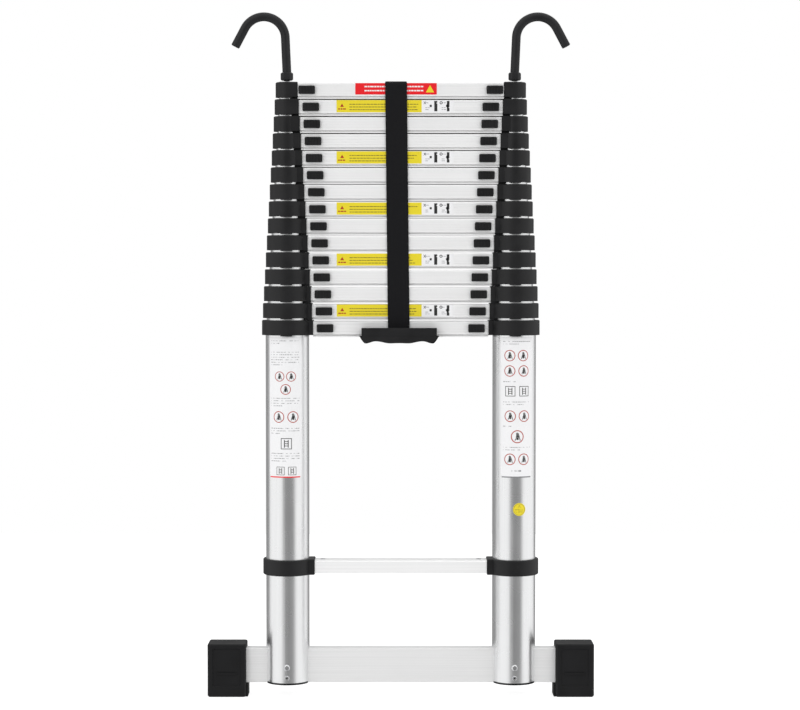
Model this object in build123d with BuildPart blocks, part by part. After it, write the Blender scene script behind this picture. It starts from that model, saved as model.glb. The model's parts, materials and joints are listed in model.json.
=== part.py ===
from build123d import *
import math
import os

os.makedirs("parts", exist_ok=True)

# Telescoping ladder, shown closed. Millimetres, +Z up, the front faces -Y.
# The origin is on the floor, midway between the two feet.
# Fourteen moving sections nest in a base section. Section 1 is the lowest.

# Stack of sections
SECTIONS = 14
STACK_PITCH = 27.68
BASE_RUNG_Z = 606.0
STEP = 390.0
STILE_X = 186.0

# Stile tubes
BASE_TUBE_R = 35.6
TUBE_WALL = 1.35
NEST_CLEARANCE = 0.3
NEST_STEP = TUBE_WALL + NEST_CLEARANCE
TUBE_OVERLAP = 100.0
TUBE_DROP = STEP + TUBE_OVERLAP
BASE_TUBE_BOTTOM = 24.6
FIT_GAP = 0.05

# Rung extrusion, heights measured from the rung's own centre
RUNG_TOP = 10.3
RUNG_FACE_LOW = -11.0
RUNG_LIP_TOP = -13.3
RUNG_LOW = -15.3
RUNG_HALF_DEPTH = 18.0
RUNG_NECK_HALF = 13.6
RUNG_LIP_HALF = 17.2
RUNG_WALL = 1.8
RUNG_EDGE_R = 1.2
FACE_GROOVES = 4
FACE_GROOVE_PITCH = 4.2
FACE_GROOVE_WIDTH = 0.7
TREAD_GROOVES = 6
TREAD_PITCH = 5.2
TREAD_GROOVE_WIDTH = 1.8
GROOVE_DEPTH = 0.4

# Collars
COLLAR_WALL = 6.0
COLLAR_HALF = 12.2
COLLAR_LIP = 2.4
COLLAR_TAB = 1.4
COLLAR_TAB_WIDTH = 19.0
BLOCK_HALF_DEPTH = 20.5
BLOCK_GROWTH = 0.1
LIP_BASE = 6.2
LIP_GROWTH = 0.4
BLOCK_LIP_LOW = STACK_PITCH - COLLAR_HALF - NEST_CLEARANCE
COLLAR_EDGE = 1.2
SPIGOT_LENGTH = 14.0

# Release buttons and lock pins
BUTTON_WIDTH = 27.0
BUTTON_HEIGHT = 13.4
BUTTON_DEPTH = 5.6
BUTTON_RISE = -1.1
BUTTON_GAP = 6.0
TOP_BUTTON_GAP = 1.2
BUTTON_CORNER_R = 2.0
BUTTON_EDGE = 0.8
BUTTON_GRIPS = 4
BUTTON_GRIP_PITCH = 4.8
BUTTON_GRIP_WIDTH = 2.6
BUTTON_GRIP_MARGIN = 4.4
BUTTON_GRIP_DEPTH = 0.9
LOCK_HOLE_R = 4.3
LOCK_PIN_R = 4.0
BUTTON_TRAVEL = 8.0
PIN_EDGE = 0.6
STEM_WIDTH = 8.0
STEM_INSET = 1.4
STEM_HALF_HEIGHT = 3.0
SLIDE_HALF_HEIGHT = 5.0

# Guide plug in the foot of each moving tube
PLUG_HEIGHT = 18.0
PLUG_FLANGE = 1.5
PLUG_WALL = 3.5

# Fixed lower rung
FIXED_RUNG_Z = 213.6
FIXED_RUNG_HEIGHT = 21.2
FIXED_RUNG_DEPTH = 38.0
FIXED_RUNG_WALL = 2.0
FIXED_RUNG_EDGE_R = 2.4
FIXED_RUNG_HALF = 141.0
FIXED_SPIGOT = 22.0
FIXED_RIVET_X = 128.0
CLAMP_HALF = 12.9
CLAMP_WALL = 4.8

# Stabiliser bar and its feet
BAR_HEIGHT = 56.8
BAR_DEPTH = 26.0
BAR_BOTTOM = 22.0
BAR_HALF_LENGTH = 309.0
BAR_WALL = 2.0
BAR_RADIUS = 2.0
FOOT_OUTER_X = 317.0
FOOT_INNER_X = 254.0
FOOT_DEPTH = 50.0
FOOT_HEIGHT = 87.4
FOOT_CORNER_R = 4.0
FOOT_EDGE = 2.5
FOOT_LEDGE = 3.0
FOOT_LEDGE_TOP = 20.0
FOOT_LEDGE_DEPTH = 38.0
FOOT_PANEL_WIDTH = 47.0
FOOT_PANEL_LOW = 17.0
FOOT_PANEL_HIGH = 80.0
FOOT_PANEL_DEPTH = 1.6
FOOT_PANEL_CORNER_R = 3.0
FOOT_PANEL_SLOPE = 40.0
FOOT_RIB_Z = 38.5
FOOT_RIB_WIDTH = 33.0
FOOT_RIB_HEIGHT = 3.0
FOOT_TREADS = 4
FOOT_TREAD_PITCH = 9.0
FOOT_TREAD_WIDTH = 2.2
FOOT_TREAD_DEPTH = 2.0

# End plugs of the base tubes, and the fasteners through them
END_PLUG_TOP = 92.0
END_FLANGE = 3.2
END_FLANGE_LIP = 0.3
END_FLANGE_EDGE = 0.8
BOLT_Z = 50.4
BOLT_R = 3.0
BOLT_HOLE_R = 3.2
BOLT_HEAD_R = 5.0
BOLT_HEAD_HEIGHT = 2.8
BOLT_HEAD_ROUND = 2.2
NUT_ACROSS = 10.0
NUT_HEIGHT = 4.6
RIVET_Z = 33.2
RIVET_R = 2.4
RIVET_HEAD_R = 4.0
RIVET_HEAD_HEIGHT = 1.4
RIVET_HEAD_EDGE = 0.8
TOP_RIVET_HEAD = 1.0

# Hooks
HOOK_ROD_R = 7.2
HOOK_BEND_R = 35.0
HOOK_LEG = 56.8
HOOK_LEAN = 2.5
HOOK_TIP = 34.0
HOOK_TIP_ANGLE = 28.0
HOOK_TIP_EDGE = 1.0
STUD_R = 4.75
STUD_DEPTH = 32.0
STUD_HOLE_R = STUD_R + NEST_CLEARANCE
STUD_END_GAP = 2.0
HOOK_NUT_R = 10.6
HOOK_NUT_HEIGHT = 13.4
HOOK_NUT_LIFT = 3.3
HOOK_NUT_CORNER_R = 2.4
HOOK_NUT_EDGE = 1.8
TOP_PLUG_DEPTH = 34.0
TOP_PLUG_FLANGE_R = 12.4
TOP_PLUG_FLANGE = 1.1

# Carry strap and handle
STRAP_X = -5.5
STRAP_WIDTH = 34.0
STRAP_THICK = 1.8
STRAP_GAP = 1.3
STRAP_TAIL = 24.0
STRAP_LIFT = 0.9
STRAP_BEND_R = 4.0
HANDLE_X = -2.6
HANDLE_TOP = 605.7
HANDLE_PLATE_LOW = 592.7
HANDLE_PLATE_HALF = 61.3
HANDLE_GRIP_HALF = 65.2
HANDLE_LOBE_Z = 580.6
HANDLE_WAIST_Z = 584.4
HANDLE_BELLY_Z = 581.0
HANDLE_THICK = 16.0
HANDLE_LOBE_INSET = 8.0
HANDLE_WAIST_INSET = 24.0
HANDLE_END_INSET = 2.0
HANDLE_END_RISE = 4.6

TOP_RUNG_Z = BASE_RUNG_Z + SECTIONS * STACK_PITCH
STACK_TOP = TOP_RUNG_Z + COLLAR_HALF
NUT_BOTTOM = STACK_TOP + HOOK_NUT_LIFT
NUT_TOP = NUT_BOTTOM + HOOK_NUT_HEIGHT
RUNG_FRONT = -RUNG_HALF_DEPTH


def tube_radius(section):
    """Outer radius of a section's stile tubes; section 0 is the base."""
    return BASE_TUBE_R - section * NEST_STEP


def rung_height(section):
    """Height of a section's rung centre while the ladder is closed."""
    return BASE_RUNG_Z + section * STACK_PITCH


def block_face_x(section):
    """Distance from the middle of the ladder to the collars' inner faces."""
    return STILE_X - tube_radius(section) - COLLAR_WALL - BLOCK_GROWTH * (SECTIONS - section)


def save(builder, name):
    builder.part.label = name
    export_step(builder.part, f"parts/{name}.step")


def make_section_tubes(section):
    """The two stile tubes of a moving section, each with its lock hole near the bottom."""
    radius = tube_radius(section)
    centre = rung_height(section)
    bottom = centre - TUBE_DROP
    with BuildPart() as tubes:
        with BuildSketch(Plane.XY.offset(bottom)):
            with Locations((-STILE_X, 0), (STILE_X, 0)):
                Circle(radius)
                Circle(radius - TUBE_WALL, mode=Mode.SUBTRACT)
        extrude(amount=centre + COLLAR_HALF - COLLAR_LIP - bottom)
        with BuildSketch(Plane.YZ):
            with Locations((0, centre - STEP)):
                Circle(LOCK_HOLE_R)
        extrude(amount=STILE_X, both=True, mode=Mode.SUBTRACT)
    save(tubes, f"section_{section:02d}_tubes")


def make_base_tubes():
    """The two wide base tubes: lock hole at the top, a notch for the bar and bolt holes below."""
    with BuildPart() as tubes:
        with BuildSketch(Plane.XY.offset(BASE_TUBE_BOTTOM)):
            with Locations((-STILE_X, 0), (STILE_X, 0)):
                Circle(BASE_TUBE_R)
                Circle(BASE_TUBE_R - TUBE_WALL, mode=Mode.SUBTRACT)
        extrude(amount=BASE_RUNG_Z + COLLAR_HALF - COLLAR_LIP - BASE_TUBE_BOTTOM)
        with BuildSketch(Plane.YZ):
            with Locations((0, BASE_RUNG_Z)):
                Circle(LOCK_HOLE_R)
        extrude(amount=STILE_X, both=True, mode=Mode.SUBTRACT)
        with BuildSketch(Plane.YZ):
            with Locations((0, BASE_TUBE_BOTTOM)):
                Rectangle(
                    BAR_DEPTH + 2 * FIT_GAP,
                    BAR_BOTTOM + BAR_HEIGHT + FIT_GAP - BASE_TUBE_BOTTOM,
                    align=(Align.CENTER, Align.MIN),
                )
        extrude(amount=BAR_HALF_LENGTH, both=True, mode=Mode.SUBTRACT)
        with BuildSketch(Plane.XZ):
            with Locations((-STILE_X, BOLT_Z), (STILE_X, BOLT_Z)):
                Circle(BOLT_HOLE_R)
        extrude(amount=2 * BASE_TUBE_R, both=True, mode=Mode.SUBTRACT)
        with BuildSketch(Plane.XZ):
            with Locations((-STILE_X, RIVET_Z), (STILE_X, RIVET_Z)):
                Circle(RIVET_R + FIT_GAP)
        extrude(amount=2 * BASE_TUBE_R, mode=Mode.SUBTRACT)
    save(tubes, "base_tubes")


def rung_outline(hollow):
    """Cross-section of a stacked rung: a deep box face over a narrow neck and a lower lip."""
    wall = RUNG_WALL if hollow else 0
    with BuildSketch() as outline:
        with Locations((0, RUNG_FACE_LOW + wall)):
            Rectangle(
                2 * (RUNG_HALF_DEPTH - wall),
                RUNG_TOP - RUNG_FACE_LOW - 2 * wall,
                align=(Align.CENTER, Align.MIN),
            )
        if hollow:
            with Locations((0, RUNG_LOW + wall)):
                Rectangle(
                    2 * (RUNG_NECK_HALF - wall),
                    RUNG_FACE_LOW - RUNG_LOW,
                    align=(Align.CENTER, Align.MIN),
                )
        else:
            fillet(outline.vertices().group_by(Axis.Y)[-1], RUNG_EDGE_R)
            with Locations((0, RUNG_LOW)):
                Rectangle(
                    2 * RUNG_NECK_HALF,
                    RUNG_FACE_LOW - RUNG_LOW,
                    align=(Align.CENTER, Align.MIN),
                )
                Rectangle(
                    2 * RUNG_LIP_HALF,
                    RUNG_LIP_TOP - RUNG_LOW,
                    align=(Align.CENTER, Align.MIN),
                )
            face_middle = (RUNG_TOP + RUNG_FACE_LOW) / 2
            with Locations((-RUNG_HALF_DEPTH, face_middle), (RUNG_HALF_DEPTH, face_middle)):
                with GridLocations(1, FACE_GROOVE_PITCH, 1, FACE_GROOVES):
                    Rectangle(2 * GROOVE_DEPTH, FACE_GROOVE_WIDTH, mode=Mode.SUBTRACT)
            with Locations((0, RUNG_TOP)):
                with GridLocations(TREAD_PITCH, 1, TREAD_GROOVES, 1):
                    Rectangle(TREAD_GROOVE_WIDTH, 2 * GROOVE_DEPTH, mode=Mode.SUBTRACT)
    return outline.sketch


def make_rung(section, name):
    """A hollow rung between the faces of a section's two collars."""
    half_length = block_face_x(section)
    profile_plane = Plane(origin=(0, 0, rung_height(section)), x_dir=(0, 1, 0), z_dir=(1, 0, 0))
    outside = rung_outline(False)
    inside = rung_outline(True)
    with BuildPart() as rung:
        with BuildSketch(profile_plane):
            add(outside)
            add(inside, mode=Mode.SUBTRACT)
        extrude(amount=half_length, both=True)
        if section == 0:
            stem_x = base_stem_x()
            with BuildSketch(Plane.XZ.offset(RUNG_HALF_DEPTH - 3 * RUNG_WALL)):
                for side in (-1, 1):
                    with Locations((side * (stem_x - BUTTON_TRAVEL / 2), BASE_RUNG_Z + BUTTON_RISE)):
                        Rectangle(STEM_WIDTH + BUTTON_TRAVEL + 1, 2 * STEM_HALF_HEIGHT + 1)
            extrude(amount=4 * RUNG_WALL, mode=Mode.SUBTRACT)
    save(rung, name)


def button_x(section):
    """Middle of the left or right button, measured from the middle of the ladder."""
    gap = TOP_BUTTON_GAP if section == SECTIONS else BUTTON_GAP
    return block_face_x(section) - gap - BUTTON_WIDTH / 2


def base_stem_x():
    """Middle of the stem that carries a base button through the rung's front wall."""
    return block_face_x(0) - SPIGOT_LENGTH - STEM_INSET - STEM_WIDTH / 2


def button_part(centre_x, centre_z, back_y):
    """A ribbed thumb button, standing out of the plane y = back_y towards the front."""
    with BuildPart() as button:
        with BuildSketch(Plane.XZ.offset(-back_y)):
            with Locations((centre_x, centre_z)):
                RectangleRounded(BUTTON_WIDTH, BUTTON_HEIGHT, BUTTON_CORNER_R)
        extrude(amount=BUTTON_DEPTH)
        chamfer(button.faces().sort_by(Axis.Y)[0].edges(), BUTTON_EDGE)
        with BuildSketch(Plane.XZ.offset(BUTTON_DEPTH - back_y)):
            with Locations((centre_x, centre_z)):
                with GridLocations(BUTTON_GRIP_PITCH, 1, BUTTON_GRIPS, 1):
                    RectangleRounded(BUTTON_GRIP_WIDTH, BUTTON_HEIGHT - BUTTON_GRIP_MARGIN, 1)
        extrude(amount=-BUTTON_GRIP_DEPTH, mode=Mode.SUBTRACT)
    return button.part


def collar_part(section, lip_half_depth):
    """The left collar: a ring round the tube top, squared on the inner side to hold the rung."""
    radius = tube_radius(section)
    centre = rung_height(section)
    ring_radius = radius + COLLAR_WALL
    block_half = min(BLOCK_HALF_DEPTH, ring_radius)
    block_reach = STILE_X - block_face_x(section)
    left_tube = (-STILE_X, 0)
    with BuildPart() as collar:
        with BuildSketch(Plane.XY.offset(centre - COLLAR_HALF)):
            with Locations(left_tube):
                Circle(ring_radius)
                Rectangle(block_reach, 2 * block_half, align=(Align.MIN, Align.CENTER))
        extrude(amount=2 * COLLAR_HALF)
        chamfer(collar.faces().sort_by(Axis.Z)[-1].edges(), COLLAR_EDGE)
        with BuildSketch(Plane.XY.offset(centre - COLLAR_HALF - COLLAR_TAB)):
            with Locations(left_tube):
                Circle(ring_radius)
                Rectangle(COLLAR_TAB_WIDTH, 2 * ring_radius, mode=Mode.INTERSECT)
        extrude(amount=COLLAR_TAB)
        if lip_half_depth:
            with BuildSketch(Plane.XY.offset(centre - BLOCK_LIP_LOW)):
                with Locations(left_tube):
                    Rectangle(block_reach, 2 * lip_half_depth, align=(Align.MIN, Align.CENTER))
            extrude(amount=BLOCK_LIP_LOW - COLLAR_HALF)
        with BuildSketch(Plane.YZ.offset(-block_face_x(section))):
            with Locations((0, centre + RUNG_FACE_LOW + RUNG_WALL + FIT_GAP)):
                Rectangle(
                    2 * (RUNG_HALF_DEPTH - RUNG_WALL - FIT_GAP),
                    RUNG_TOP - RUNG_FACE_LOW - 2 * (RUNG_WALL + FIT_GAP),
                    align=(Align.CENTER, Align.MIN),
                )
        extrude(amount=SPIGOT_LENGTH)
        with BuildSketch(Plane.XY.offset(centre - STACK_PITCH)):
            with Locations(left_tube):
                Circle(radius + FIT_GAP)
        extrude(amount=STACK_PITCH + COLLAR_HALF - COLLAR_LIP, mode=Mode.SUBTRACT)
        with BuildSketch(Plane.XY.offset(centre)):
            with Locations(left_tube):
                Circle(radius - TUBE_WALL)
        extrude(amount=2 * COLLAR_HALF, mode=Mode.SUBTRACT)
    return collar.part


def make_section_collar_set(section):
    """Black mouldings of a moving section: collars, release buttons and guide plugs."""
    radius = tube_radius(section)
    centre = rung_height(section)
    tube_bottom = centre - TUBE_DROP
    collar = collar_part(section, LIP_BASE + LIP_GROWTH * radius)
    button = button_part(-button_x(section), centre + BUTTON_RISE, RUNG_FRONT)
    with BuildPart() as mouldings:
        with BuildSketch(Plane.XY.offset(tube_bottom - PLUG_FLANGE)):
            with Locations((-STILE_X, 0)):
                Circle(radius - FIT_GAP)
        extrude(amount=PLUG_FLANGE)
        with BuildSketch(Plane.XY.offset(tube_bottom)):
            with Locations((-STILE_X, 0)):
                Circle(radius - TUBE_WALL - FIT_GAP)
        extrude(amount=PLUG_HEIGHT)
        with BuildSketch(Plane.XY.offset(tube_bottom - PLUG_FLANGE)):
            with Locations((-STILE_X, 0)):
                Circle(radius - TUBE_WALL - PLUG_WALL)
        extrude(amount=PLUG_FLANGE + PLUG_HEIGHT, mode=Mode.SUBTRACT)
        add(collar)
        add(button)
        mirror(about=Plane.YZ)
    save(mouldings, f"section_{section:02d}_collar_set")


def make_base_collars():
    """Collars of the base section, bored for the lock pins."""
    collar = collar_part(0, 0)
    with BuildPart() as collars:
        add(collar)
        with BuildSketch(Plane.YZ.offset(-STILE_X)):
            with Locations((0, BASE_RUNG_Z)):
                Circle(LOCK_HOLE_R)
        extrude(amount=STILE_X, mode=Mode.SUBTRACT)
        mirror(about=Plane.YZ)
    save(collars, "base_collars")


def make_release(side, name):
    """Button, stem and slide of the base rung's release, with the lock pin that it pulls."""
    stem_x = base_stem_x()
    slide_outer = stem_x + STEM_WIDTH / 2
    slide_inner = stem_x - STEM_WIDTH - SLIDE_HALF_HEIGHT
    back_y = RUNG_FRONT - NEST_CLEARANCE
    inside_y = RUNG_FRONT + 2 * RUNG_WALL
    pin_tip = STILE_X - BASE_TUBE_R + TUBE_WALL / 2
    button = button_part(side * button_x(0), BASE_RUNG_Z + BUTTON_RISE, back_y)
    with BuildPart() as release:
        add(button)
        with BuildSketch(Plane.XZ.offset(-back_y)):
            with Locations((side * stem_x, BASE_RUNG_Z + BUTTON_RISE)):
                Rectangle(STEM_WIDTH, 2 * STEM_HALF_HEIGHT)
        extrude(amount=back_y - inside_y)
        with BuildSketch(Plane.XZ.offset(-inside_y)):
            with Locations((side * (slide_outer + slide_inner) / 2, BASE_RUNG_Z)):
                Rectangle(slide_outer - slide_inner, 2 * SLIDE_HALF_HEIGHT)
        extrude(amount=inside_y - SLIDE_HALF_HEIGHT)
        with BuildSketch(Plane.YZ.offset(side * (slide_outer + FIT_GAP))):
            with Locations((0, BASE_RUNG_Z)):
                Circle(LOCK_PIN_R)
        extrude(amount=side * (pin_tip - slide_outer - FIT_GAP))
        chamfer(release.faces().sort_by(Axis.X)[-1 if side > 0 else 0].edges(), PIN_EDGE)
    save(release, name)


def make_fixed_rung():
    """The lower rung, fixed on the base tubes, ribbed on top."""
    plane = Plane(origin=(0, 0, FIXED_RUNG_Z), x_dir=(0, 1, 0), z_dir=(1, 0, 0))
    with BuildPart() as rung:
        with BuildSketch(plane):
            RectangleRounded(FIXED_RUNG_DEPTH, FIXED_RUNG_HEIGHT, FIXED_RUNG_EDGE_R)
            with Locations((0, FIXED_RUNG_HEIGHT / 2)):
                with GridLocations(TREAD_PITCH, 1, TREAD_GROOVES, 1):
                    Rectangle(TREAD_GROOVE_WIDTH, 2 * GROOVE_DEPTH, mode=Mode.SUBTRACT)
            Rectangle(
                FIXED_RUNG_DEPTH - 2 * FIXED_RUNG_WALL,
                FIXED_RUNG_HEIGHT - 2 * FIXED_RUNG_WALL,
                mode=Mode.SUBTRACT,
            )
        extrude(amount=FIXED_RUNG_HALF, both=True)
        with BuildSketch(Plane.XY.offset(FIXED_RUNG_Z)):
            with Locations((-FIXED_RIVET_X, 0), (FIXED_RIVET_X, 0)):
                Circle(RIVET_R + FIT_GAP)
        extrude(amount=FIXED_RUNG_HEIGHT, mode=Mode.SUBTRACT)
    save(rung, "fixed_rung")


def make_fixed_rung_clamps():
    """Clamp rings that hold the fixed rung on the base tubes."""
    ring_radius = BASE_TUBE_R + CLAMP_WALL
    with BuildPart() as clamps:
        with BuildSketch(Plane.XY.offset(FIXED_RUNG_Z - CLAMP_HALF)):
            with Locations((-STILE_X, 0)):
                Circle(ring_radius)
                Rectangle(
                    STILE_X - FIXED_RUNG_HALF,
                    2 * BLOCK_HALF_DEPTH,
                    align=(Align.MIN, Align.CENTER),
                )
        extrude(amount=2 * CLAMP_HALF)
        chamfer(clamps.faces().sort_by(Axis.Z)[-1].edges(), COLLAR_EDGE)
        chamfer(clamps.faces().sort_by(Axis.Z)[0].edges(), COLLAR_EDGE)
        with BuildSketch(Plane.YZ.offset(-FIXED_RUNG_HALF)):
            with Locations((0, FIXED_RUNG_Z)):
                Rectangle(
                    FIXED_RUNG_DEPTH - 2 * (FIXED_RUNG_WALL + FIT_GAP),
                    FIXED_RUNG_HEIGHT - 2 * (FIXED_RUNG_WALL + FIT_GAP),
                )
        extrude(amount=FIXED_SPIGOT)
        with BuildSketch(Plane.XY.offset(FIXED_RUNG_Z - CLAMP_HALF)):
            with Locations((-STILE_X, 0)):
                Circle(BASE_TUBE_R + FIT_GAP)
        extrude(amount=2 * CLAMP_HALF, mode=Mode.SUBTRACT)
        with BuildSketch(Plane.XY.offset(FIXED_RUNG_Z)):
            with Locations((-FIXED_RIVET_X, 0)):
                Circle(RIVET_R + FIT_GAP)
        extrude(amount=CLAMP_HALF, mode=Mode.SUBTRACT)
        mirror(about=Plane.YZ)
    save(clamps, "fixed_rung_clamps")


def make_stabiliser_bar():
    """Rectangular tube that crosses both base tubes and carries the feet."""
    bar_plane = Plane(origin=(0, 0, BAR_BOTTOM + BAR_HEIGHT / 2), x_dir=(0, 1, 0), z_dir=(1, 0, 0))
    with BuildPart() as bar:
        with BuildSketch(bar_plane):
            RectangleRounded(BAR_DEPTH, BAR_HEIGHT, BAR_RADIUS)
            Rectangle(BAR_DEPTH - 2 * BAR_WALL, BAR_HEIGHT - 2 * BAR_WALL, mode=Mode.SUBTRACT)
        extrude(amount=BAR_HALF_LENGTH, both=True)
        with BuildSketch(Plane.XZ):
            with Locations((-STILE_X, BOLT_Z), (STILE_X, BOLT_Z)):
                Circle(BOLT_HOLE_R)
        extrude(amount=BAR_DEPTH, both=True, mode=Mode.SUBTRACT)
    save(bar, "stabiliser_bar")


def make_feet():
    """Rubber feet pushed over the bar's ends, with a dished front and back and a tread below."""
    middle_x = -(FOOT_OUTER_X + FOOT_INNER_X) / 2
    width = FOOT_OUTER_X - FOOT_INNER_X
    panel_middle = (FOOT_PANEL_LOW + FOOT_PANEL_HIGH) / 2
    with BuildPart() as feet:
        with BuildSketch():
            with Locations((middle_x, 0)):
                RectangleRounded(width, FOOT_DEPTH, FOOT_CORNER_R)
        extrude(amount=FOOT_HEIGHT)
        fillet(feet.faces().sort_by(Axis.Z)[-1].edges(), FOOT_EDGE)
        chamfer(feet.faces().sort_by(Axis.Z)[0].edges(), FOOT_EDGE)
        with BuildSketch():
            with Locations((-FOOT_INNER_X, 0)):
                Rectangle(2 * FOOT_LEDGE, FOOT_LEDGE_DEPTH)
        extrude(amount=FOOT_LEDGE_TOP)
        for face_y in (-FOOT_DEPTH / 2, FOOT_DEPTH / 2):
            with BuildSketch(Plane.XZ.offset(-face_y)):
                with Locations((middle_x, panel_middle)):
                    RectangleRounded(
                        FOOT_PANEL_WIDTH,
                        FOOT_PANEL_HIGH - FOOT_PANEL_LOW,
                        FOOT_PANEL_CORNER_R,
                    )
            extrude(
                amount=-math.copysign(FOOT_PANEL_DEPTH, -face_y),
                mode=Mode.SUBTRACT,
                taper=FOOT_PANEL_SLOPE,
            )
            with BuildSketch(Plane.XZ.offset(-face_y)):
                with Locations((middle_x, FOOT_RIB_Z)):
                    RectangleRounded(FOOT_RIB_WIDTH, FOOT_RIB_HEIGHT, FOOT_RIB_HEIGHT / 3)
            extrude(amount=-math.copysign(FOOT_PANEL_DEPTH + 1, -face_y))
        with BuildSketch(Plane.YZ.offset(-BAR_HALF_LENGTH - FIT_GAP)):
            with Locations((0, BAR_BOTTOM + BAR_HEIGHT / 2)):
                RectangleRounded(BAR_DEPTH + 2 * FIT_GAP, BAR_HEIGHT + 2 * FIT_GAP, BAR_RADIUS)
        extrude(amount=BAR_HALF_LENGTH - FOOT_INNER_X + 2 * FOOT_LEDGE, mode=Mode.SUBTRACT)
        with BuildSketch(Plane.XY):
            with Locations((middle_x, 0)):
                with GridLocations(1, FOOT_TREAD_PITCH, 1, FOOT_TREADS):
                    Rectangle(2 * width, FOOT_TREAD_WIDTH)
        extrude(amount=FOOT_TREAD_DEPTH, mode=Mode.SUBTRACT)
        mirror(about=Plane.YZ)
    save(feet, "feet")


def make_tube_end_plugs():
    """Plastic plugs that close the base tubes and seat the stabiliser bar."""
    slot_plane = Plane.YZ.offset(-STILE_X - 2 * BASE_TUBE_R)
    with BuildPart() as plugs:
        with BuildSketch(Plane.XY.offset(BASE_TUBE_BOTTOM - END_FLANGE)):
            with Locations((-STILE_X, 0)):
                Circle(BASE_TUBE_R + END_FLANGE_LIP)
        extrude(amount=END_FLANGE)
        chamfer(plugs.faces().sort_by(Axis.Z)[0].edges(), END_FLANGE_EDGE)
        with BuildSketch(Plane.XY.offset(BASE_TUBE_BOTTOM)):
            with Locations((-STILE_X, 0)):
                Circle(BASE_TUBE_R - TUBE_WALL - FIT_GAP)
        extrude(amount=END_PLUG_TOP - BASE_TUBE_BOTTOM)
        with BuildSketch(slot_plane):
            with Locations((0, BAR_BOTTOM + BAR_HEIGHT + FIT_GAP)):
                Rectangle(BAR_DEPTH + 2 * FIT_GAP, 2 * BAR_HEIGHT, align=(Align.CENTER, Align.MAX))
        extrude(amount=4 * BASE_TUBE_R, mode=Mode.SUBTRACT)
        with BuildSketch(Plane.XZ):
            with Locations((-STILE_X, BOLT_Z)):
                Circle(BOLT_HOLE_R)
        extrude(amount=BASE_TUBE_R, both=True, mode=Mode.SUBTRACT)
        with BuildSketch(Plane.XZ.offset(BASE_TUBE_R / 2)):
            with Locations((-STILE_X, RIVET_Z)):
                Circle(RIVET_R + FIT_GAP)
        extrude(amount=BASE_TUBE_R, mode=Mode.SUBTRACT)
        mirror(about=Plane.YZ)
    save(plugs, "tube_end_plugs")


def make_base_fasteners():
    """Bolts with nuts and pop rivets at the base tubes, and the fixed rung's top rivets."""
    seat = BASE_TUBE_R + FIT_GAP
    with BuildPart() as fasteners:
        with BuildSketch(Plane.XZ.offset(-seat - NUT_HEIGHT)):
            with Locations((-STILE_X, BOLT_Z)):
                Circle(BOLT_R)
        extrude(amount=2 * seat + NUT_HEIGHT)
        with BuildSketch(Plane.XZ.offset(seat)):
            with Locations((-STILE_X, BOLT_Z)):
                Circle(BOLT_HEAD_R)
        extrude(amount=BOLT_HEAD_HEIGHT)
        fillet(fasteners.faces().sort_by(Axis.Y)[0].edges(), BOLT_HEAD_ROUND)
        with BuildSketch(Plane.XZ.offset(-seat)):
            with Locations((-STILE_X, BOLT_Z)):
                RegularPolygon(NUT_ACROSS / 2, 6, major_radius=False)
        extrude(amount=-NUT_HEIGHT)
        with BuildSketch(Plane.XZ.offset(seat)):
            with Locations((-STILE_X, RIVET_Z)):
                Circle(RIVET_HEAD_R)
        rivet = extrude(amount=RIVET_HEAD_HEIGHT)
        chamfer(rivet.faces().sort_by(Axis.Y)[0].edges(), RIVET_HEAD_EDGE)
        with BuildSketch(Plane.XZ.offset(BASE_TUBE_R / 2)):
            with Locations((-STILE_X, RIVET_Z)):
                Circle(RIVET_R)
        extrude(amount=seat - BASE_TUBE_R / 2)
        with BuildSketch(Plane.XZ.offset(BASE_TUBE_R / 2)):
            with Locations((-STILE_X, RIVET_Z)):
                Circle(RIVET_R / 2)
        extrude(amount=BASE_TUBE_R, mode=Mode.SUBTRACT)
        top = FIXED_RUNG_Z + FIXED_RUNG_HEIGHT / 2
        with BuildSketch(Plane.XY.offset(FIXED_RUNG_Z)):
            with Locations((-FIXED_RIVET_X, 0)):
                Circle(RIVET_R)
        extrude(amount=FIXED_RUNG_HEIGHT / 2)
        with BuildSketch(Plane.XY.offset(top)):
            with Locations((-FIXED_RIVET_X, 0)):
                Circle(RIVET_HEAD_R)
        extrude(amount=TOP_RIVET_HEAD)
        mirror(about=Plane.YZ)
    save(fasteners, "base_fasteners")


def make_top_plugs():
    """Threaded plugs in the top tubes that take the hooks' studs."""
    radius = tube_radius(SECTIONS) - TUBE_WALL - FIT_GAP
    with BuildPart() as plugs:
        with BuildSketch(Plane.XY.offset(STACK_TOP - TOP_PLUG_DEPTH)):
            with Locations((-STILE_X, 0)):
                Circle(radius)
        extrude(amount=TOP_PLUG_DEPTH)
        with BuildSketch(Plane.XY.offset(STACK_TOP)):
            with Locations((-STILE_X, 0)):
                Circle(TOP_PLUG_FLANGE_R)
        extrude(amount=TOP_PLUG_FLANGE)
        with BuildSketch(Plane.XY.offset(STACK_TOP - STUD_DEPTH)):
            with Locations((-STILE_X, 0)):
                Circle(STUD_HOLE_R)
        extrude(amount=STUD_DEPTH + TOP_PLUG_FLANGE, mode=Mode.SUBTRACT)
        mirror(about=Plane.YZ)
    save(plugs, "top_plugs")


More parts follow.
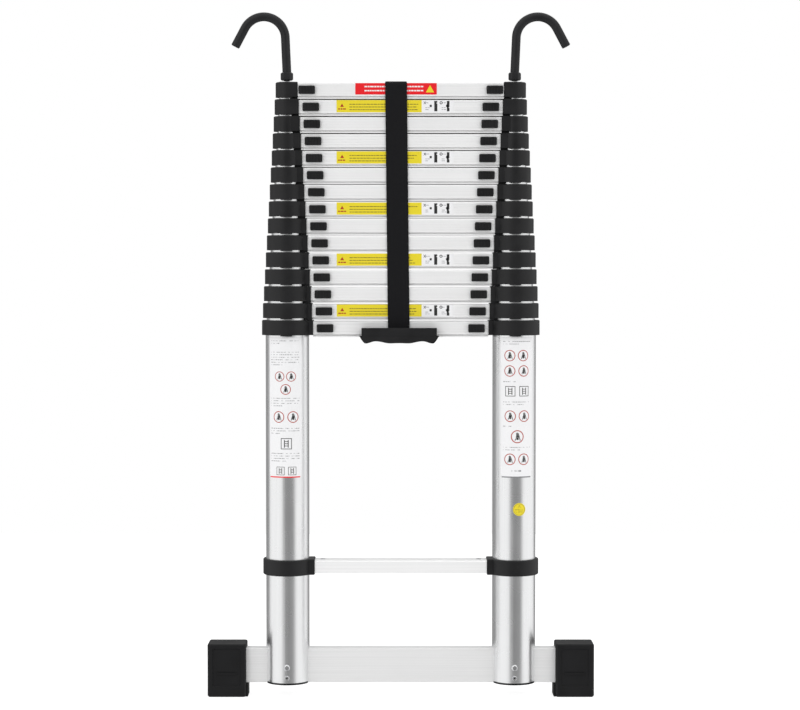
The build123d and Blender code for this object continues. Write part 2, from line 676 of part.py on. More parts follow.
def make_hook(side, name):
    """A bent rod that points outwards, with a plain stud below for the plug and the lock nut."""
    lean = math.radians(HOOK_LEAN)
    foot_x = side * STILE_X
    leg_top = (foot_x + side * HOOK_LEG * math.sin(lean), NUT_TOP + HOOK_LEG * math.cos(lean))
    turn = -side * (180 - HOOK_TIP_ANGLE - HOOK_LEAN)
    with BuildPart() as hook:
        with BuildLine(Plane.XZ) as path:
            leg = Line((foot_x, NUT_TOP), leg_top)
            bend = JernArc(leg @ 1, leg % 1, HOOK_BEND_R, turn)
            Line(bend @ 1, bend @ 1 + (bend % 1) * HOOK_TIP)
        with BuildSketch(Plane(origin=leg @ 0, z_dir=leg % 0)):
            Circle(HOOK_ROD_R)
        sweep(path=path.line)
        tip = hook.faces().filter_by(GeomType.PLANE).sort_by(Axis.X)[-1 if side > 0 else 0]
        chamfer(tip.edges(), HOOK_TIP_EDGE)
        with BuildSketch(Plane.XY.offset(STACK_TOP - STUD_DEPTH + STUD_END_GAP)):
            with Locations((foot_x, 0)):
                Circle(STUD_R)
        extrude(amount=NUT_TOP - STACK_TOP + STUD_DEPTH)
    save(hook, name)


def make_hook_nut(side, name):
    """Six-sided lock nut with rounded corners on the hook's stud."""
    with BuildPart() as nut:
        with BuildSketch(Plane.XY.offset(NUT_BOTTOM)):
            with Locations((side * STILE_X, 0)):
                RegularPolygon(HOOK_NUT_R, 6)
        extrude(amount=HOOK_NUT_HEIGHT - NEST_CLEARANCE)
        fillet(nut.edges().filter_by(Axis.Z), HOOK_NUT_CORNER_R)
        chamfer(nut.faces().sort_by(Axis.Z)[-1].edges(), HOOK_NUT_EDGE)
        chamfer(nut.faces().sort_by(Axis.Z)[0].edges(), HOOK_NUT_EDGE)
        with BuildSketch(Plane.XY.offset(NUT_BOTTOM)):
            with Locations((side * STILE_X, 0)):
                Circle(STUD_R + FIT_GAP)
        extrude(amount=HOOK_NUT_HEIGHT, mode=Mode.SUBTRACT)
    save(nut, name)


def make_carry_strap():
    """Webbing that lies over the top rung and hangs down the front of the stack."""
    inner = RUNG_HALF_DEPTH + STRAP_GAP
    outer = inner + STRAP_THICK
    low = HANDLE_PLATE_LOW + 1
    under = TOP_RUNG_Z + RUNG_TOP + STRAP_LIFT
    top = under + STRAP_THICK
    with BuildPart() as strap:
        with BuildSketch(Plane.YZ.offset(STRAP_X - STRAP_WIDTH / 2)) as side_view:
            with Locations((-outer, top)):
                Rectangle(STRAP_THICK, top - low, align=(Align.MIN, Align.MAX))
                Rectangle(2 * outer, STRAP_THICK, align=(Align.MIN, Align.MAX))
            with Locations((outer, top)):
                Rectangle(STRAP_THICK, STRAP_TAIL, align=(Align.MAX, Align.MAX))
            corners = side_view.vertices().sort_by(Axis.Y)
            fillet(corners[-2:], STRAP_BEND_R)
            inside = [v for v in side_view.vertices() if abs(v.Z - under) < 0.01]
            fillet(inside, STRAP_BEND_R - STRAP_THICK)
        extrude(amount=STRAP_WIDTH)
    save(strap, "carry_strap")


def make_carry_handle():
    """Moulded grip at the foot of the strap: a flat plate over a wavy finger grip."""
    lobe_x = HANDLE_GRIP_HALF - HANDLE_LOBE_INSET
    waist_x = HANDLE_GRIP_HALF - HANDLE_WAIST_INSET
    end_x = HANDLE_GRIP_HALF - HANDLE_END_INSET
    back = RUNG_HALF_DEPTH + STRAP_GAP + STRAP_THICK + NEST_CLEARANCE
    with BuildPart() as handle:
        with BuildSketch(Plane.XZ.offset(back)):
            with Locations((HANDLE_X, 0)):
                with BuildLine(mode=Mode.PRIVATE) as outline:
                    Polyline(
                        (HANDLE_GRIP_HALF, HANDLE_PLATE_LOW),
                        (HANDLE_PLATE_HALF, HANDLE_PLATE_LOW),
                        (HANDLE_PLATE_HALF, HANDLE_TOP),
                        (-HANDLE_PLATE_HALF, HANDLE_TOP),
                        (-HANDLE_PLATE_HALF, HANDLE_PLATE_LOW),
                        (-HANDLE_GRIP_HALF, HANDLE_PLATE_LOW),
                    )
                    ThreePointArc(
                        (-HANDLE_GRIP_HALF, HANDLE_PLATE_LOW),
                        (-end_x, HANDLE_LOBE_Z + HANDLE_END_RISE),
                        (-lobe_x, HANDLE_LOBE_Z),
                    )
                    Spline(
                        (-lobe_x, HANDLE_LOBE_Z),
                        (-waist_x, HANDLE_WAIST_Z),
                        (0, HANDLE_BELLY_Z),
                        (waist_x, HANDLE_WAIST_Z),
                        (lobe_x, HANDLE_LOBE_Z),
                        tangents=[(1, 0), (1, 0)],
                    )
                    ThreePointArc(
                        (lobe_x, HANDLE_LOBE_Z),
                        (end_x, HANDLE_LOBE_Z + HANDLE_END_RISE),
                        (HANDLE_GRIP_HALF, HANDLE_PLATE_LOW),
                    )
                add(make_face(outline.line, mode=Mode.PRIVATE))
        extrude(amount=HANDLE_THICK)
    save(handle, "carry_handle")


for number in range(1, SECTIONS + 1):
    make_section_tubes(number)
    make_rung(number, f"section_{number:02d}_rung")
    make_section_collar_set(number)
make_base_tubes()
make_rung(0, "base_rung")
make_base_collars()
make_release(-1, "release_left")
make_release(1, "release_right")
make_fixed_rung()
make_fixed_rung_clamps()
make_stabiliser_bar()
make_feet()
make_tube_end_plugs()
make_base_fasteners()
make_top_plugs()
for label, direction in (("left", -1), ("right", 1)):
    make_hook(direction, f"hook_{label}")
    make_hook_nut(direction, f"hook_nut_{label}")
make_carry_strap()
make_carry_handle()
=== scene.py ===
import json
import math
import random

import bmesh
import bpy
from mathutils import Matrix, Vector


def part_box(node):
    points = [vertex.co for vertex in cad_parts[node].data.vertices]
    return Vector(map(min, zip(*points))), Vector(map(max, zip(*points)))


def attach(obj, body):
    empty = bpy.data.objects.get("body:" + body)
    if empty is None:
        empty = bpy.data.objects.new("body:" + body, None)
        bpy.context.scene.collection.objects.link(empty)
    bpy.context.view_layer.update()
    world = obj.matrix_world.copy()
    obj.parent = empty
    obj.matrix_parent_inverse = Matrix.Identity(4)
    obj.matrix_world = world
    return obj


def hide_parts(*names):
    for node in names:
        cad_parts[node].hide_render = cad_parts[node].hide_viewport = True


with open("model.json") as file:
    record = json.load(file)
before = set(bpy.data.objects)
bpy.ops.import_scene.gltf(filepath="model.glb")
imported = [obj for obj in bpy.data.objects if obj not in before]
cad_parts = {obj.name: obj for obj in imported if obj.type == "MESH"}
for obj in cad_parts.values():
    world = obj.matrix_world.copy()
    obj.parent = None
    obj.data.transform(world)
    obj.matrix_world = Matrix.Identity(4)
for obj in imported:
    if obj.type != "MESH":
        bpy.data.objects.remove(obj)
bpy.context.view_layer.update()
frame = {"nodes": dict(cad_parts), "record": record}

# The ladder stands on the floor at z = 0 and faces -Y. Lengths are in metres.
MM = 0.001
SECTIONS = 14
TOP = f"section_{SECTIONS:02d}"
RUNG_FACE_LOW = 4.3 * MM          # the flat face starts this far above a rung's lower edge
LABEL_THICK = 0.12 * MM
PRINT_THICK = 0.04 * MM
EVEN = (1, 1, 1)                  # noise that runs the same size in every direction
ALONG_X = (3, 900, 900)           # die lines along a rung or bar
ALONG_Z = (900, 900, 3)           # die lines along a tube
CAD_SHARP_ANGLE = math.radians(32)
PIECE_SHARP_ANGLE = math.radians(35)


# ---------------------------------------------------------------- materials

def new_material(name, color, roughness, metallic=0.0):
    """A material with its node tree and Principled shader."""
    material = bpy.data.materials.new(name)
    material.use_nodes = True
    tree = material.node_tree
    shader = tree.nodes["Principled BSDF"]
    shader.inputs["Base Color"].default_value = (*color, 1)
    shader.inputs["Roughness"].default_value = roughness
    shader.inputs["Metallic"].default_value = metallic
    return material, tree, shader


def add_node(tree, kind, **values):
    """A node whose inputs or, where it has no such input, properties take the values given."""
    node = tree.nodes.new(kind)
    for key, value in values.items():
        if key in node.inputs:
            node.inputs[key].default_value = value
        else:
            setattr(node, key, value)
    return node


def object_space(tree, scale):
    """Object coordinates, which are the ladder's own metres, stretched by scale."""
    coords = tree.nodes.new("ShaderNodeTexCoord")
    mapping = add_node(tree, "ShaderNodeMapping", Scale=scale)
    tree.links.new(coords.outputs["Object"], mapping.inputs["Vector"])
    return mapping.outputs["Vector"]


def noise(tree, scale, size, detail=3.0):
    """Noise in the ladder's own space; a small scale on one axis draws it out along that axis."""
    node = add_node(tree, "ShaderNodeTexNoise", Scale=size, Detail=detail)
    tree.links.new(object_space(tree, scale), node.inputs["Vector"])
    return node.outputs["Fac"]


def remap(tree, value, low, high):
    """Spreads the middle of a noise over low to high."""
    node = add_node(tree, "ShaderNodeMapRange")
    node.inputs["From Min"].default_value = 0.3
    node.inputs["From Max"].default_value = 0.7
    node.inputs["To Min"].default_value = low
    node.inputs["To Max"].default_value = high
    tree.links.new(value, node.inputs["Value"])
    return node.outputs["Result"]


def tint(tree, shader, value, dark, light):
    """Lets the base colour drift between two close colours."""
    mix = add_node(tree, "ShaderNodeMix", data_type="RGBA")
    mix.inputs[6].default_value = (*dark, 1)
    mix.inputs[7].default_value = (*light, 1)
    tree.links.new(remap(tree, value, 0.0, 1.0), mix.inputs[0])
    tree.links.new(mix.outputs[2], shader.inputs["Base Color"])


def bump(tree, shader, value, strength, distance):
    """Lets a value raise the surface; distance is in metres."""
    node = add_node(tree, "ShaderNodeBump", Strength=strength, Distance=distance)
    tree.links.new(value, node.inputs["Height"])
    tree.links.new(node.outputs["Normal"], shader.inputs["Normal"])


def drawn_aluminium(name, stretch, light, roughness, metallic):
    """Aluminium with fine die lines along the extrusion; stretch is small along its length."""
    dark = tuple(c * 0.93 for c in light)
    material, tree, shader = new_material(name, light, roughness, metallic)
    lines = noise(tree, stretch, 1.0, 4.0)
    cloud = noise(tree, EVEN, 14.0, 2.0)
    tint(tree, shader, lines, dark, light)
    tree.links.new(remap(tree, cloud, roughness - 0.03, roughness + 0.05), shader.inputs["Roughness"])
    bump(tree, shader, lines, 0.10, 0.00012)
    return material


def moulded_black(name, color, roughness, grain, strength):
    """Black moulded plastic or rubber with a fine spark-eroded grain."""
    light = tuple(c * 1.6 for c in color)
    material, tree, shader = new_material(name, color, roughness)
    shader.inputs["Specular IOR Level"].default_value = 0.3
    fine = noise(tree, EVEN, grain, 2.0)
    cloud = noise(tree, EVEN, 30.0, 3.0)
    tint(tree, shader, cloud, color, light)
    tree.links.new(remap(tree, cloud, roughness - 0.06, roughness + 0.08), shader.inputs["Roughness"])
    bump(tree, shader, fine, strength, 0.0002)
    return material


def zinc_steel():
    """Zinc plated steel with the crystal mottle of the plating."""
    material, tree, shader = new_material("zinc_steel", (0.74, 0.74, 0.75), 0.3, 1.0)
    mottle = noise(tree, EVEN, 260.0, 3.0)
    tint(tree, shader, mottle, (0.62, 0.63, 0.66), (0.82, 0.82, 0.81))
    bump(tree, shader, mottle, 0.12, 0.0001)
    return material


def webbing_material():
    """Black polyester webbing: diagonal ribs crossed by level picks, with a slight sheen."""
    material, tree, shader = new_material("webbing", (0.008, 0.008, 0.010), 0.75)
    shader.inputs["Specular IOR Level"].default_value = 0.15
    shader.inputs["Sheen Weight"].default_value = 0.06
    shader.inputs["Sheen Roughness"].default_value = 0.4
    ribs = add_node(tree, "ShaderNodeTexWave", Scale=1.0, Distortion=0.0)
    ribs.wave_type = "BANDS"
    ribs.bands_direction = "DIAGONAL"
    tree.links.new(object_space(tree, (420, 0, 300)), ribs.inputs["Vector"])
    picks = add_node(tree, "ShaderNodeTexWave", Scale=1.0, Distortion=0.4)
    picks.wave_type = "BANDS"
    picks.bands_direction = "Z"
    tree.links.new(object_space(tree, (1, 1, 260)), picks.inputs["Vector"])
    both = add_node(tree, "ShaderNodeMath", operation="MULTIPLY")
    tree.links.new(ribs.outputs["Fac"], both.inputs[0])
    tree.links.new(picks.outputs["Fac"], both.inputs[1])
    tint(tree, shader, both.outputs[0], (0.005, 0.005, 0.006), (0.013, 0.013, 0.015))
    bump(tree, shader, both.outputs[0], 0.5, 0.0005)
    return material


def printed(name, color):
    """Ink or film of a sticker: a plain colour with a faint paper mottle."""
    material, tree, shader = new_material(name, color, 0.42)
    mottle = noise(tree, EVEN, 500.0, 2.0)
    tint(tree, shader, mottle, tuple(c * 0.96 for c in color), color)
    bump(tree, shader, mottle, 0.03, 0.00005)
    return material


tube_metal = drawn_aluminium("tube_aluminium", ALONG_Z, (0.90, 0.905, 0.91), 0.27, 1.0)
rung_metal = drawn_aluminium("rung_aluminium", ALONG_X, (0.955, 0.955, 0.955), 0.42, 0.25)
bar_metal = drawn_aluminium("bar_aluminium", (3, 700, 700), (0.80, 0.80, 0.80), 0.55, 0.25)
black_nylon = moulded_black("black_nylon", (0.007, 0.007, 0.0075), 0.45, 1400.0, 0.16)
foot_rubber = moulded_black("foot_rubber", (0.004, 0.004, 0.0045), 0.6, 900.0, 0.2)
coated_steel = moulded_black("coated_steel", (0.008, 0.008, 0.009), 0.5, 600.0, 0.25)
steel = zinc_steel()
webbing = webbing_material()
SLOT_MATERIALS = {
    "tube_aluminium": tube_metal,
    "rung_aluminium": rung_metal,
    "bar_aluminium": bar_metal,
    "black_nylon": black_nylon,
    "foot_rubber": foot_rubber,
    "coated_steel": coated_steel,
    "zinc_steel": steel,
    "webbing": webbing,
}


def dress_cad_nodes():
    """Gives every CAD node the material of its record slot and smooths its round faces."""
    for row in frame["record"]["subparts"]:
        node = frame["nodes"][row["node"]]
        node.data.materials.clear()
        node.data.materials.append(SLOT_MATERIALS[row["material_slot"]])
        node.data.polygons.foreach_set("use_smooth", [True] * len(node.data.polygons))
        node.data.set_sharp_from_angle(angle=CAD_SHARP_ANGLE)


# ---------------------------------------------------------------- mesh helpers

def finish_piece(mesh_name, bm, materials, body, smooth=True):
    """Turns a bmesh into a piece that rides on a body."""
    bmesh.ops.recalc_face_normals(bm, faces=bm.faces)
    mesh = bpy.data.meshes.new(mesh_name)
    bm.to_mesh(mesh)
    bm.free()
    for material in materials:
        mesh.materials.append(material)
    piece = bpy.data.objects.new(mesh_name, mesh)
    bpy.context.scene.collection.objects.link(piece)
    if smooth:
        mesh.polygons.foreach_set("use_smooth", [True] * len(mesh.polygons))
        mesh.set_sharp_from_angle(angle=PIECE_SHARP_ANGLE)
    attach(piece, body)
    return piece


def add_plate(bm, outline, low, high, place, slot_index):
    """A closed plate over a flat outline of (u, v) points; place(u, v, height) gives 3D points."""
    bottom = [bm.verts.new(place(u, v, low)) for u, v in outline]
    top = [bm.verts.new(place(u, v, high)) for u, v in outline]
    faces = [bm.faces.new(top), bm.faces.new(list(reversed(bottom)))]
    count = len(outline)
    for i in range(count):
        j = (i + 1) % count
        faces.append(bm.faces.new((bottom[i], bottom[j], top[j], top[i])))
    for face in faces:
        face.material_index = slot_index


def add_ring(bm, centre, outer, inner, low, high, place, slot_index, steps=40):
    """A closed flat ring."""
    loops = []
    for radius, height in ((outer, low), (outer, high), (inner, high), (inner, low)):
        loop = []
        for i in range(steps):
            angle = 2 * math.pi * i / steps
            u = centre[0] + radius * math.cos(angle)
            v = centre[1] + radius * math.sin(angle)
            loop.append(bm.verts.new(place(u, v, height)))
        loops.append(loop)
    for k in range(4):
        a, b = loops[k], loops[(k + 1) % 4]
        for i in range(steps):
            j = (i + 1) % steps
            bm.faces.new((a[i], a[j], b[j], b[i])).material_index = slot_index


def rounded_box(u0, u1, v0, v1, radius, steps=5):
    """Outline of a rectangle with rounded corners."""
    points = []
    corners = ((u1, v1, 0), (u0, v1, 90), (u0, v0, 180), (u1, v0, 270))
    for u, v, start in corners:
        cu = u - math.copysign(radius, u - (u0 + u1) / 2)
        cv = v - math.copysign(radius, v - (v0 + v1) / 2)
        for i in range(steps + 1):
            angle = math.radians(start + 90 * i / steps)
            points.append((cu + radius * math.cos(angle), cv + radius * math.sin(angle)))
    return points


# ---------------------------------------------------------------- stickers on the rungs

label_yellow = printed("label_yellow", (0.80, 0.66, 0.02))
label_red = printed("label_red", (0.80, 0.004, 0.010))
label_white = printed("label_white", (0.86, 0.86, 0.87))
ink_black = printed("ink_black", (0.02, 0.02, 0.02))
ink_brown = printed("ink_brown", (0.20, 0.15, 0.02))
ink_grey = printed("ink_grey", (0.22, 0.22, 0.23))
ink_red = printed("ink_red", (0.42, 0.03, 0.01))
PRINTS = [label_yellow, label_red, label_white, ink_black, ink_brown, ink_grey, ink_red]
YELLOW, RED, WHITE, BLACK, BROWN, GREY, DULL_RED = range(len(PRINTS))


def rung_front(section):
    """A placing function for the flat front face of a section's rung: u along X, v up the face."""
    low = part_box(f"section_{section:02d}_rung")[0]
    face_y = low.y
    face_z = low.z + RUNG_FACE_LOW

    def place(u, v, height):
        return (u, face_y - height, face_z + v)

    return place


DASH_SHORT, DASH_LONG, DASH_GAP = 2.2, 6.0, 0.9 * MM
DASH_REST = 2 * MM                # a row ends when less than this is left


def add_dashes(bm, u0, u1, v, thick, place, slot_index, rng, low):
    """A row of short bars of uneven length that stands for a line of print."""
    u = u0
    while u < u1 - DASH_REST:
        length = min(rng.uniform(DASH_SHORT, DASH_LONG) * MM, u1 - u)
        box = [(u, v), (u + length, v), (u + length, v + thick), (u, v + thick)]
        add_plate(bm, box, low, low + PRINT_THICK, place, slot_index)
        u += length + DASH_GAP


def add_triangle(bm, u, v, size, place, slot_index, low):
    """A plain triangle on a level base, its middle at u."""
    points = [(u - size / 2, v), (u + size / 2, v), (u, v + size * 0.87)]
    add_plate(bm, points, low, low + PRINT_THICK, place, slot_index)


def add_step_picture(bm, u, v, step, place, rng, low):
    """One of two block pictures at the sticker's right: a cross or ring, print, a dot and a notched post."""
    high = low + PRINT_THICK
    mark_v = v + 15.4 * MM
    if step == 0:
        arm, inner = 2.2 * MM, 1.2 * MM
        for lean in (-arm, arm):
            ends = ((-arm, -lean), (-inner, -lean), (arm, lean), (inner, lean))
            add_plate(bm, [(u + du, mark_v + dv) for du, dv in ends], low, high, place, BLACK)
        left, right, tip, notch = 15.4, 20.4, 18.6, (13.8, 15.0, 16.2)
    else:
        add_ring(bm, (u, mark_v), 2.4 * MM, 1.3 * MM, low, high, place, BLACK, 20)
        left, right, tip, notch = 9.4, 13.6, 12.0, (6.4, 7.6, 8.8)
    for row in (4.0, 7.0, 15.0):
        add_dashes(bm, u + 1 * MM, u + 8 * MM, v + row * MM, 0.8 * MM, place, GREY, rng, low)
    dot = rounded_box(u + 8 * MM, u + 11.4 * MM, v + 8.6 * MM, v + 12.2 * MM, 0.4 * MM, 3)
    add_plate(bm, dot, low, high, place, BLACK)
    foot, head = 1.6, 18.4
    post = [(left, foot), (right, foot), (right, notch[0]), (tip, notch[1]), (right, notch[2])]
    post += [(right, head), (left, head)]
    add_plate(bm, [(u + du * MM, v + dv * MM) for du, dv in post], low, high, place, BLACK)


def make_yellow_label(section, rng):
    """Yellow and white rung sticker with a plain triangle, print lines and block pictograms."""
    place = rung_front(section)
    bm = bmesh.new()
    u0, split, u1 = -104.5 * MM, 34 * MM, 86 * MM
    v0, v1 = 1.3 * MM, 21.1 * MM
    top = LABEL_THICK
    add_plate(bm, [(u0, v0), (split, v0), (split, v1), (u0, v1)], 0, top, place, YELLOW)
    add_plate(bm, [(split, v0), (u1, v0), (u1, v1), (split, v1)], 0, top, place, WHITE)
    add_triangle(bm, u0 + 9 * MM, v0 + 8.8 * MM, 6.4 * MM, place, DULL_RED, top)
    add_dashes(bm, u0 + 2.5 * MM, u0 + 15.5 * MM, v0 + 4.4 * MM, 2.0 * MM, place, DULL_RED, rng, top)
    for row in range(3):
        end = split - rng.uniform(3, 26) * MM
        v = v0 + (3.6 + 4.4 * row) * MM
        add_dashes(bm, u0 + 21 * MM, end, v, 1.3 * MM, place, BROWN, rng, top)
    for step, u in enumerate((39.0 * MM, 65.5 * MM)):
        add_step_picture(bm, u, v0, step, place, rng, top)
    return finish_piece(f"label_yellow_{section:02d}", bm, PRINTS, f"section_{section:02d}", False)


def make_red_label(rng):
    """Red sticker on the top rung: white print lines and a yellow triangle."""
    place = rung_front(SECTIONS)
    bm = bmesh.new()
    u0, u1, v0, v1 = -74 * MM, 58.5 * MM, 2.4 * MM, 21.0 * MM
    top = LABEL_THICK
    add_plate(bm, rounded_box(u0, u1, v0, v1, 0.8 * MM), 0, top, place, RED)
    for v in (5.2, 11.8):
        add_dashes(bm, u0 + 15 * MM, u1 - 22 * MM, v0 + v * MM, 2.2 * MM, place, WHITE, rng, top)
    add_triangle(bm, u1 - 11 * MM, v0 + 3.5 * MM, 13.5 * MM, place, YELLOW, top)
    return finish_piece("label_red", bm, PRINTS, TOP, False)


# ---------------------------------------------------------------- stickers on the base tubes

def tube_front(side):
    """A placing function for a base tube: u is the arc length from its front, v is the height."""
    low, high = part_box("base_tubes")
    radius = (high.y - low.y) / 2
    centre_x = side * (high.x - radius)

    def place(u, v, height):
        angle = u / radius
        reach = radius + height
        return (centre_x + reach * math.sin(angle), -reach * math.cos(angle), v)

    return place


def add_wrapped_plate(bm, u0, u1, v0, v1, low, high, place, slot_index, columns=24):
    """A plate that wraps the tube, cut into columns so that it follows the curve."""
    step = (u1 - u0) / columns
    grid = {}
    for i in range(columns + 1):
        for j, v in enumerate((v0, v1)):
            for k, height in enumerate((low, high)):
                grid[i, j, k] = bm.verts.new(place(u0 + i * step, v, height))
    quads = []
    for i in range(columns):
        quads.append((grid[i, 0, 1], grid[i + 1, 0, 1], grid[i + 1, 1, 1], grid[i, 1, 1]))
        quads.append((grid[i, 0, 0], grid[i, 1, 0], grid[i + 1, 1, 0], grid[i + 1, 0, 0]))
        for j in (0, 1):
            quads.append((grid[i, j, 0], grid[i + 1, j, 0], grid[i + 1, j, 1], grid[i, j, 1]))
    for i in (0, columns):
        quads.append((grid[i, 0, 0], grid[i, 1, 0], grid[i, 1, 1], grid[i, 0, 1]))
    for quad in quads:
        bm.faces.new(quad).material_index = slot_index


def add_print_lines(bm, u0, u1, top_v, rows, place, rng, low):
    """Rows of print downwards from top_v; the last row is short."""
    for row in range(rows):
        end = u1 if row < rows - 1 else u0 + (u1 - u0) * rng.uniform(0.3, 0.8)
        add_dashes(bm, u0, end, top_v - row * 4.1 * MM, 1.0 * MM, place, GREY, rng, low)


def add_round_icon(bm, u, v, radius, place, low):
    """Generic round pictogram: a ring with a small block figure."""
    high = low + PRINT_THICK
    r = radius
    add_ring(bm, (u, v), r, 0.86 * r, low, high, place, DULL_RED)
    body = rounded_box(u - 0.16 * r, u + 0.2 * r, v - 0.5 * r, v + 0.2 * r, 0.1 * r, 3)
    add_plate(bm, body, low, high, place, BLACK)
    add_ring(bm, (u, v + 0.42 * r), 0.2 * r, 0.05 * r, low, high, place, BLACK, 16)
    for offset in (-0.42, 0.38):
        leg = [(u + offset * r, v - 0.6 * r), (u + (offset + 0.13) * r, v - 0.6 * r)]
        leg += [(u + (offset * 0.3 + 0.13) * r, v + 0.35 * r), (u + offset * 0.3 * r, v + 0.35 * r)]
        add_plate(bm, leg, low, high, place, BLACK)


def add_square_icon(bm, u, v, half, place, low):
    """Generic square pictogram: a frame with two uprights and three rungs."""
    high = low + PRINT_THICK
    edge = 0.12 * half
    for sign in (-1, 1):
        a, b = sorted((sign * half, sign * (half - edge)))
        add_plate(bm, [(u + a, v - half), (u + b, v - half), (u + b, v + half), (u + a, v + half)],
                  low, high, place, BLACK)
        add_wrapped_plate(bm, u - half, u + half, v + a, v + b, low, high, place, BLACK, 12)
        a, b = sorted((sign * 0.42 * half, sign * 0.26 * half))
        add_plate(bm, [(u + a, v - 0.7 * half), (u + b, v - 0.7 * half),
                       (u + b, v + 0.7 * half), (u + a, v + 0.7 * half)], low, high, place, BLACK)
    for row in (-0.4, 0.0, 0.4):
        middle, thin = v + row * half, 0.06 * half
        add_wrapped_plate(bm, u - 0.3 * half, u + 0.3 * half, middle - thin, middle + thin,
                          low, high, place, BLACK, 6)


def make_tube_label(side, rng):
    """Tall white sticker on a base tube, with print lines and rows of pictograms."""
    place = tube_front(side)
    gap_below_collar, height = 1.5 * MM, 229 * MM
    v1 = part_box("base_collars")[0].z - gap_below_collar
    v0 = v1 - height
    middle, half = (-2.5 * MM, 29.0 * MM) if side < 0 else (3.4 * MM, 27.8 * MM)
    u0, u1 = middle - half, middle + half
    top = LABEL_THICK
    bm = bmesh.new()
    add_wrapped_plate(bm, u0, u1, v0 + 4 * MM, v1, 0, top, place, WHITE)
    add_wrapped_plate(bm, u0 + 1.5 * MM, u1 - 1.5 * MM, v0 + 2 * MM, v0 + 4 * MM, 0, top, place, WHITE, 22)
    edge_color = RED if side < 0 else GREY
    add_wrapped_plate(bm, u0 + 1.5 * MM, u1 - 3 * MM, v0, v0 + 2 * MM, 0, top, place, edge_color, 20)
    left, right = u0 + 4 * MM, u1 - 4.5 * MM
    # Depths run down from the sheet's top, in mm: groups (depth, rows), pictograms (depth, offset, size).
    if side < 0:
        groups = ((3.5, 2), (22, 6), (97, 4), (146, 3), (187, 4))
        rounds = ((64, -9, 8.2), (64, 10.3, 8.2), (85, 1.2, 8.6),
                  (130, -10.5, 9.4), (130, 13.4, 9.4))
        squares = ((173.5, 2.2, 9.0), (218, -7.6, 6.8), (218, 11.9, 6.8))
    else:
        groups = ((4.5, 2), (70, 1), (103, 2), (142.5, 1), (177, 2))
        rounds = ((30, -12.4, 9.2), (30, 10, 9.2), (55, -12.4, 9.2), (55, 10.9, 9.2),
                  (128.6, -11.6, 9.4), (128.6, 11.8, 9.4), (162, 0.3, 10.6),
                  (199, -12, 9.4), (199, 11.2, 9.4))
        squares = ((88, -11.5, 8.3), (88, 11.7, 8.3))
    for depth, rows in groups:
        add_print_lines(bm, left, right, v1 - (depth + 3) * MM, rows, place, rng, top)
    for depth, offset, radius in rounds:
        add_round_icon(bm, middle + offset * MM, v1 - depth * MM, radius * MM, place, top)
    for depth, offset, size in squares:
        add_square_icon(bm, middle + offset * MM, v1 - depth * MM, size * MM, place, top)
    if side > 0:
        add_dashes(bm, middle - 9 * MM, middle + 8 * MM, v0 + 10 * MM, 2.2 * MM, place, GREY, rng, top)
    name = "label_tube_left" if side < 0 else "label_tube_right"
    return finish_piece(name, bm, PRINTS, "base")


def make_round_sticker(rng):
    """Round yellow sticker on the right base tube."""
    place = tube_front(1)
    bm = bmesh.new()
    u, v, radius = 7.2 * MM, 310 * MM, 10.6 * MM
    rings = 6
    steps = 40
    top = LABEL_THICK
    rows = []
    for height in (0, top):
        centre = bm.verts.new(place(u, v, height))
        loops = []
        for k in range(1, rings + 1):
            loop = []
            for i in range(steps):
                angle = 2 * math.pi * i / steps
                reach = radius * k / rings
                rim_u, rim_v = u + reach * math.cos(angle), v + reach * math.sin(angle)
                loop.append(bm.verts.new(place(rim_u, rim_v, height)))
            loops.append(loop)
        rows.append(loops)
        for i in range(steps):
            j = (i + 1) % steps
            bm.faces.new((centre, loops[0][i], loops[0][j]))
            for k in range(rings - 1):
                bm.faces.new((loops[k][i], loops[k + 1][i], loops[k + 1][j], loops[k][j]))
    for i in range(steps):
        j = (i + 1) % steps
        bm.faces.new((rows[0][-1][i], rows[0][-1][j], rows[1][-1][j], rows[1][-1][i]))
    for face in bm.faces:
        face.material_index = YELLOW
    add_ring(bm, (u, v), 9.4 * MM, 8.9 * MM, top, top + PRINT_THICK, place, BROWN)
    add_triangle(bm, u, v + 2.4 * MM, 5.4 * MM, place, BROWN, top)
    for row in range(3):
        half = (7.0 - row * 0.8) * MM
        add_dashes(bm, u - half, u + half, v - (0.8 + 2.4 * row) * MM, 1.0 * MM, place, BROWN, rng, top)
    return finish_piece("label_round", bm, PRINTS, "base")


# ---------------------------------------------------------------- strap and handle

def strap_line():
    """Centre line of the strap in the YZ plane, from behind the handle up and over the top rung."""
    low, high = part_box("carry_strap")
    thick = 1.7 * MM
    front, back = low.y + thick / 2, high.y - thick / 2
    top = high.z - thick / 2
    bend = 5.0 * MM
    tail = 22 * MM
    slack, waves = 0.35 * MM, 9.0
    points = []
    steps = 90
    foot = low.z
    for i in range(steps):
        t = i / steps
        z = foot + (top - bend - foot) * t
        ripple = slack * math.sin(waves * t * math.pi) * math.sin(math.pi * t)
        points.append((front + ripple, z))
    for i in range(9):
        angle = math.pi * (1 - i / 16)
        points.append((front + bend + bend * math.cos(angle), top - bend + bend * math.sin(angle)))
    for i in range(1, 12):
        points.append((front + bend + (back - front - 2 * bend) * i / 12, top))
    for i in range(9):
        angle = math.pi / 2 * (1 - i / 8)
        points.append((back - bend + bend * math.cos(angle), top - bend + bend * math.sin(angle)))
    for i in range(1, 7):
        points.append((back, top - bend - tail * i / 7))
    return points, thick


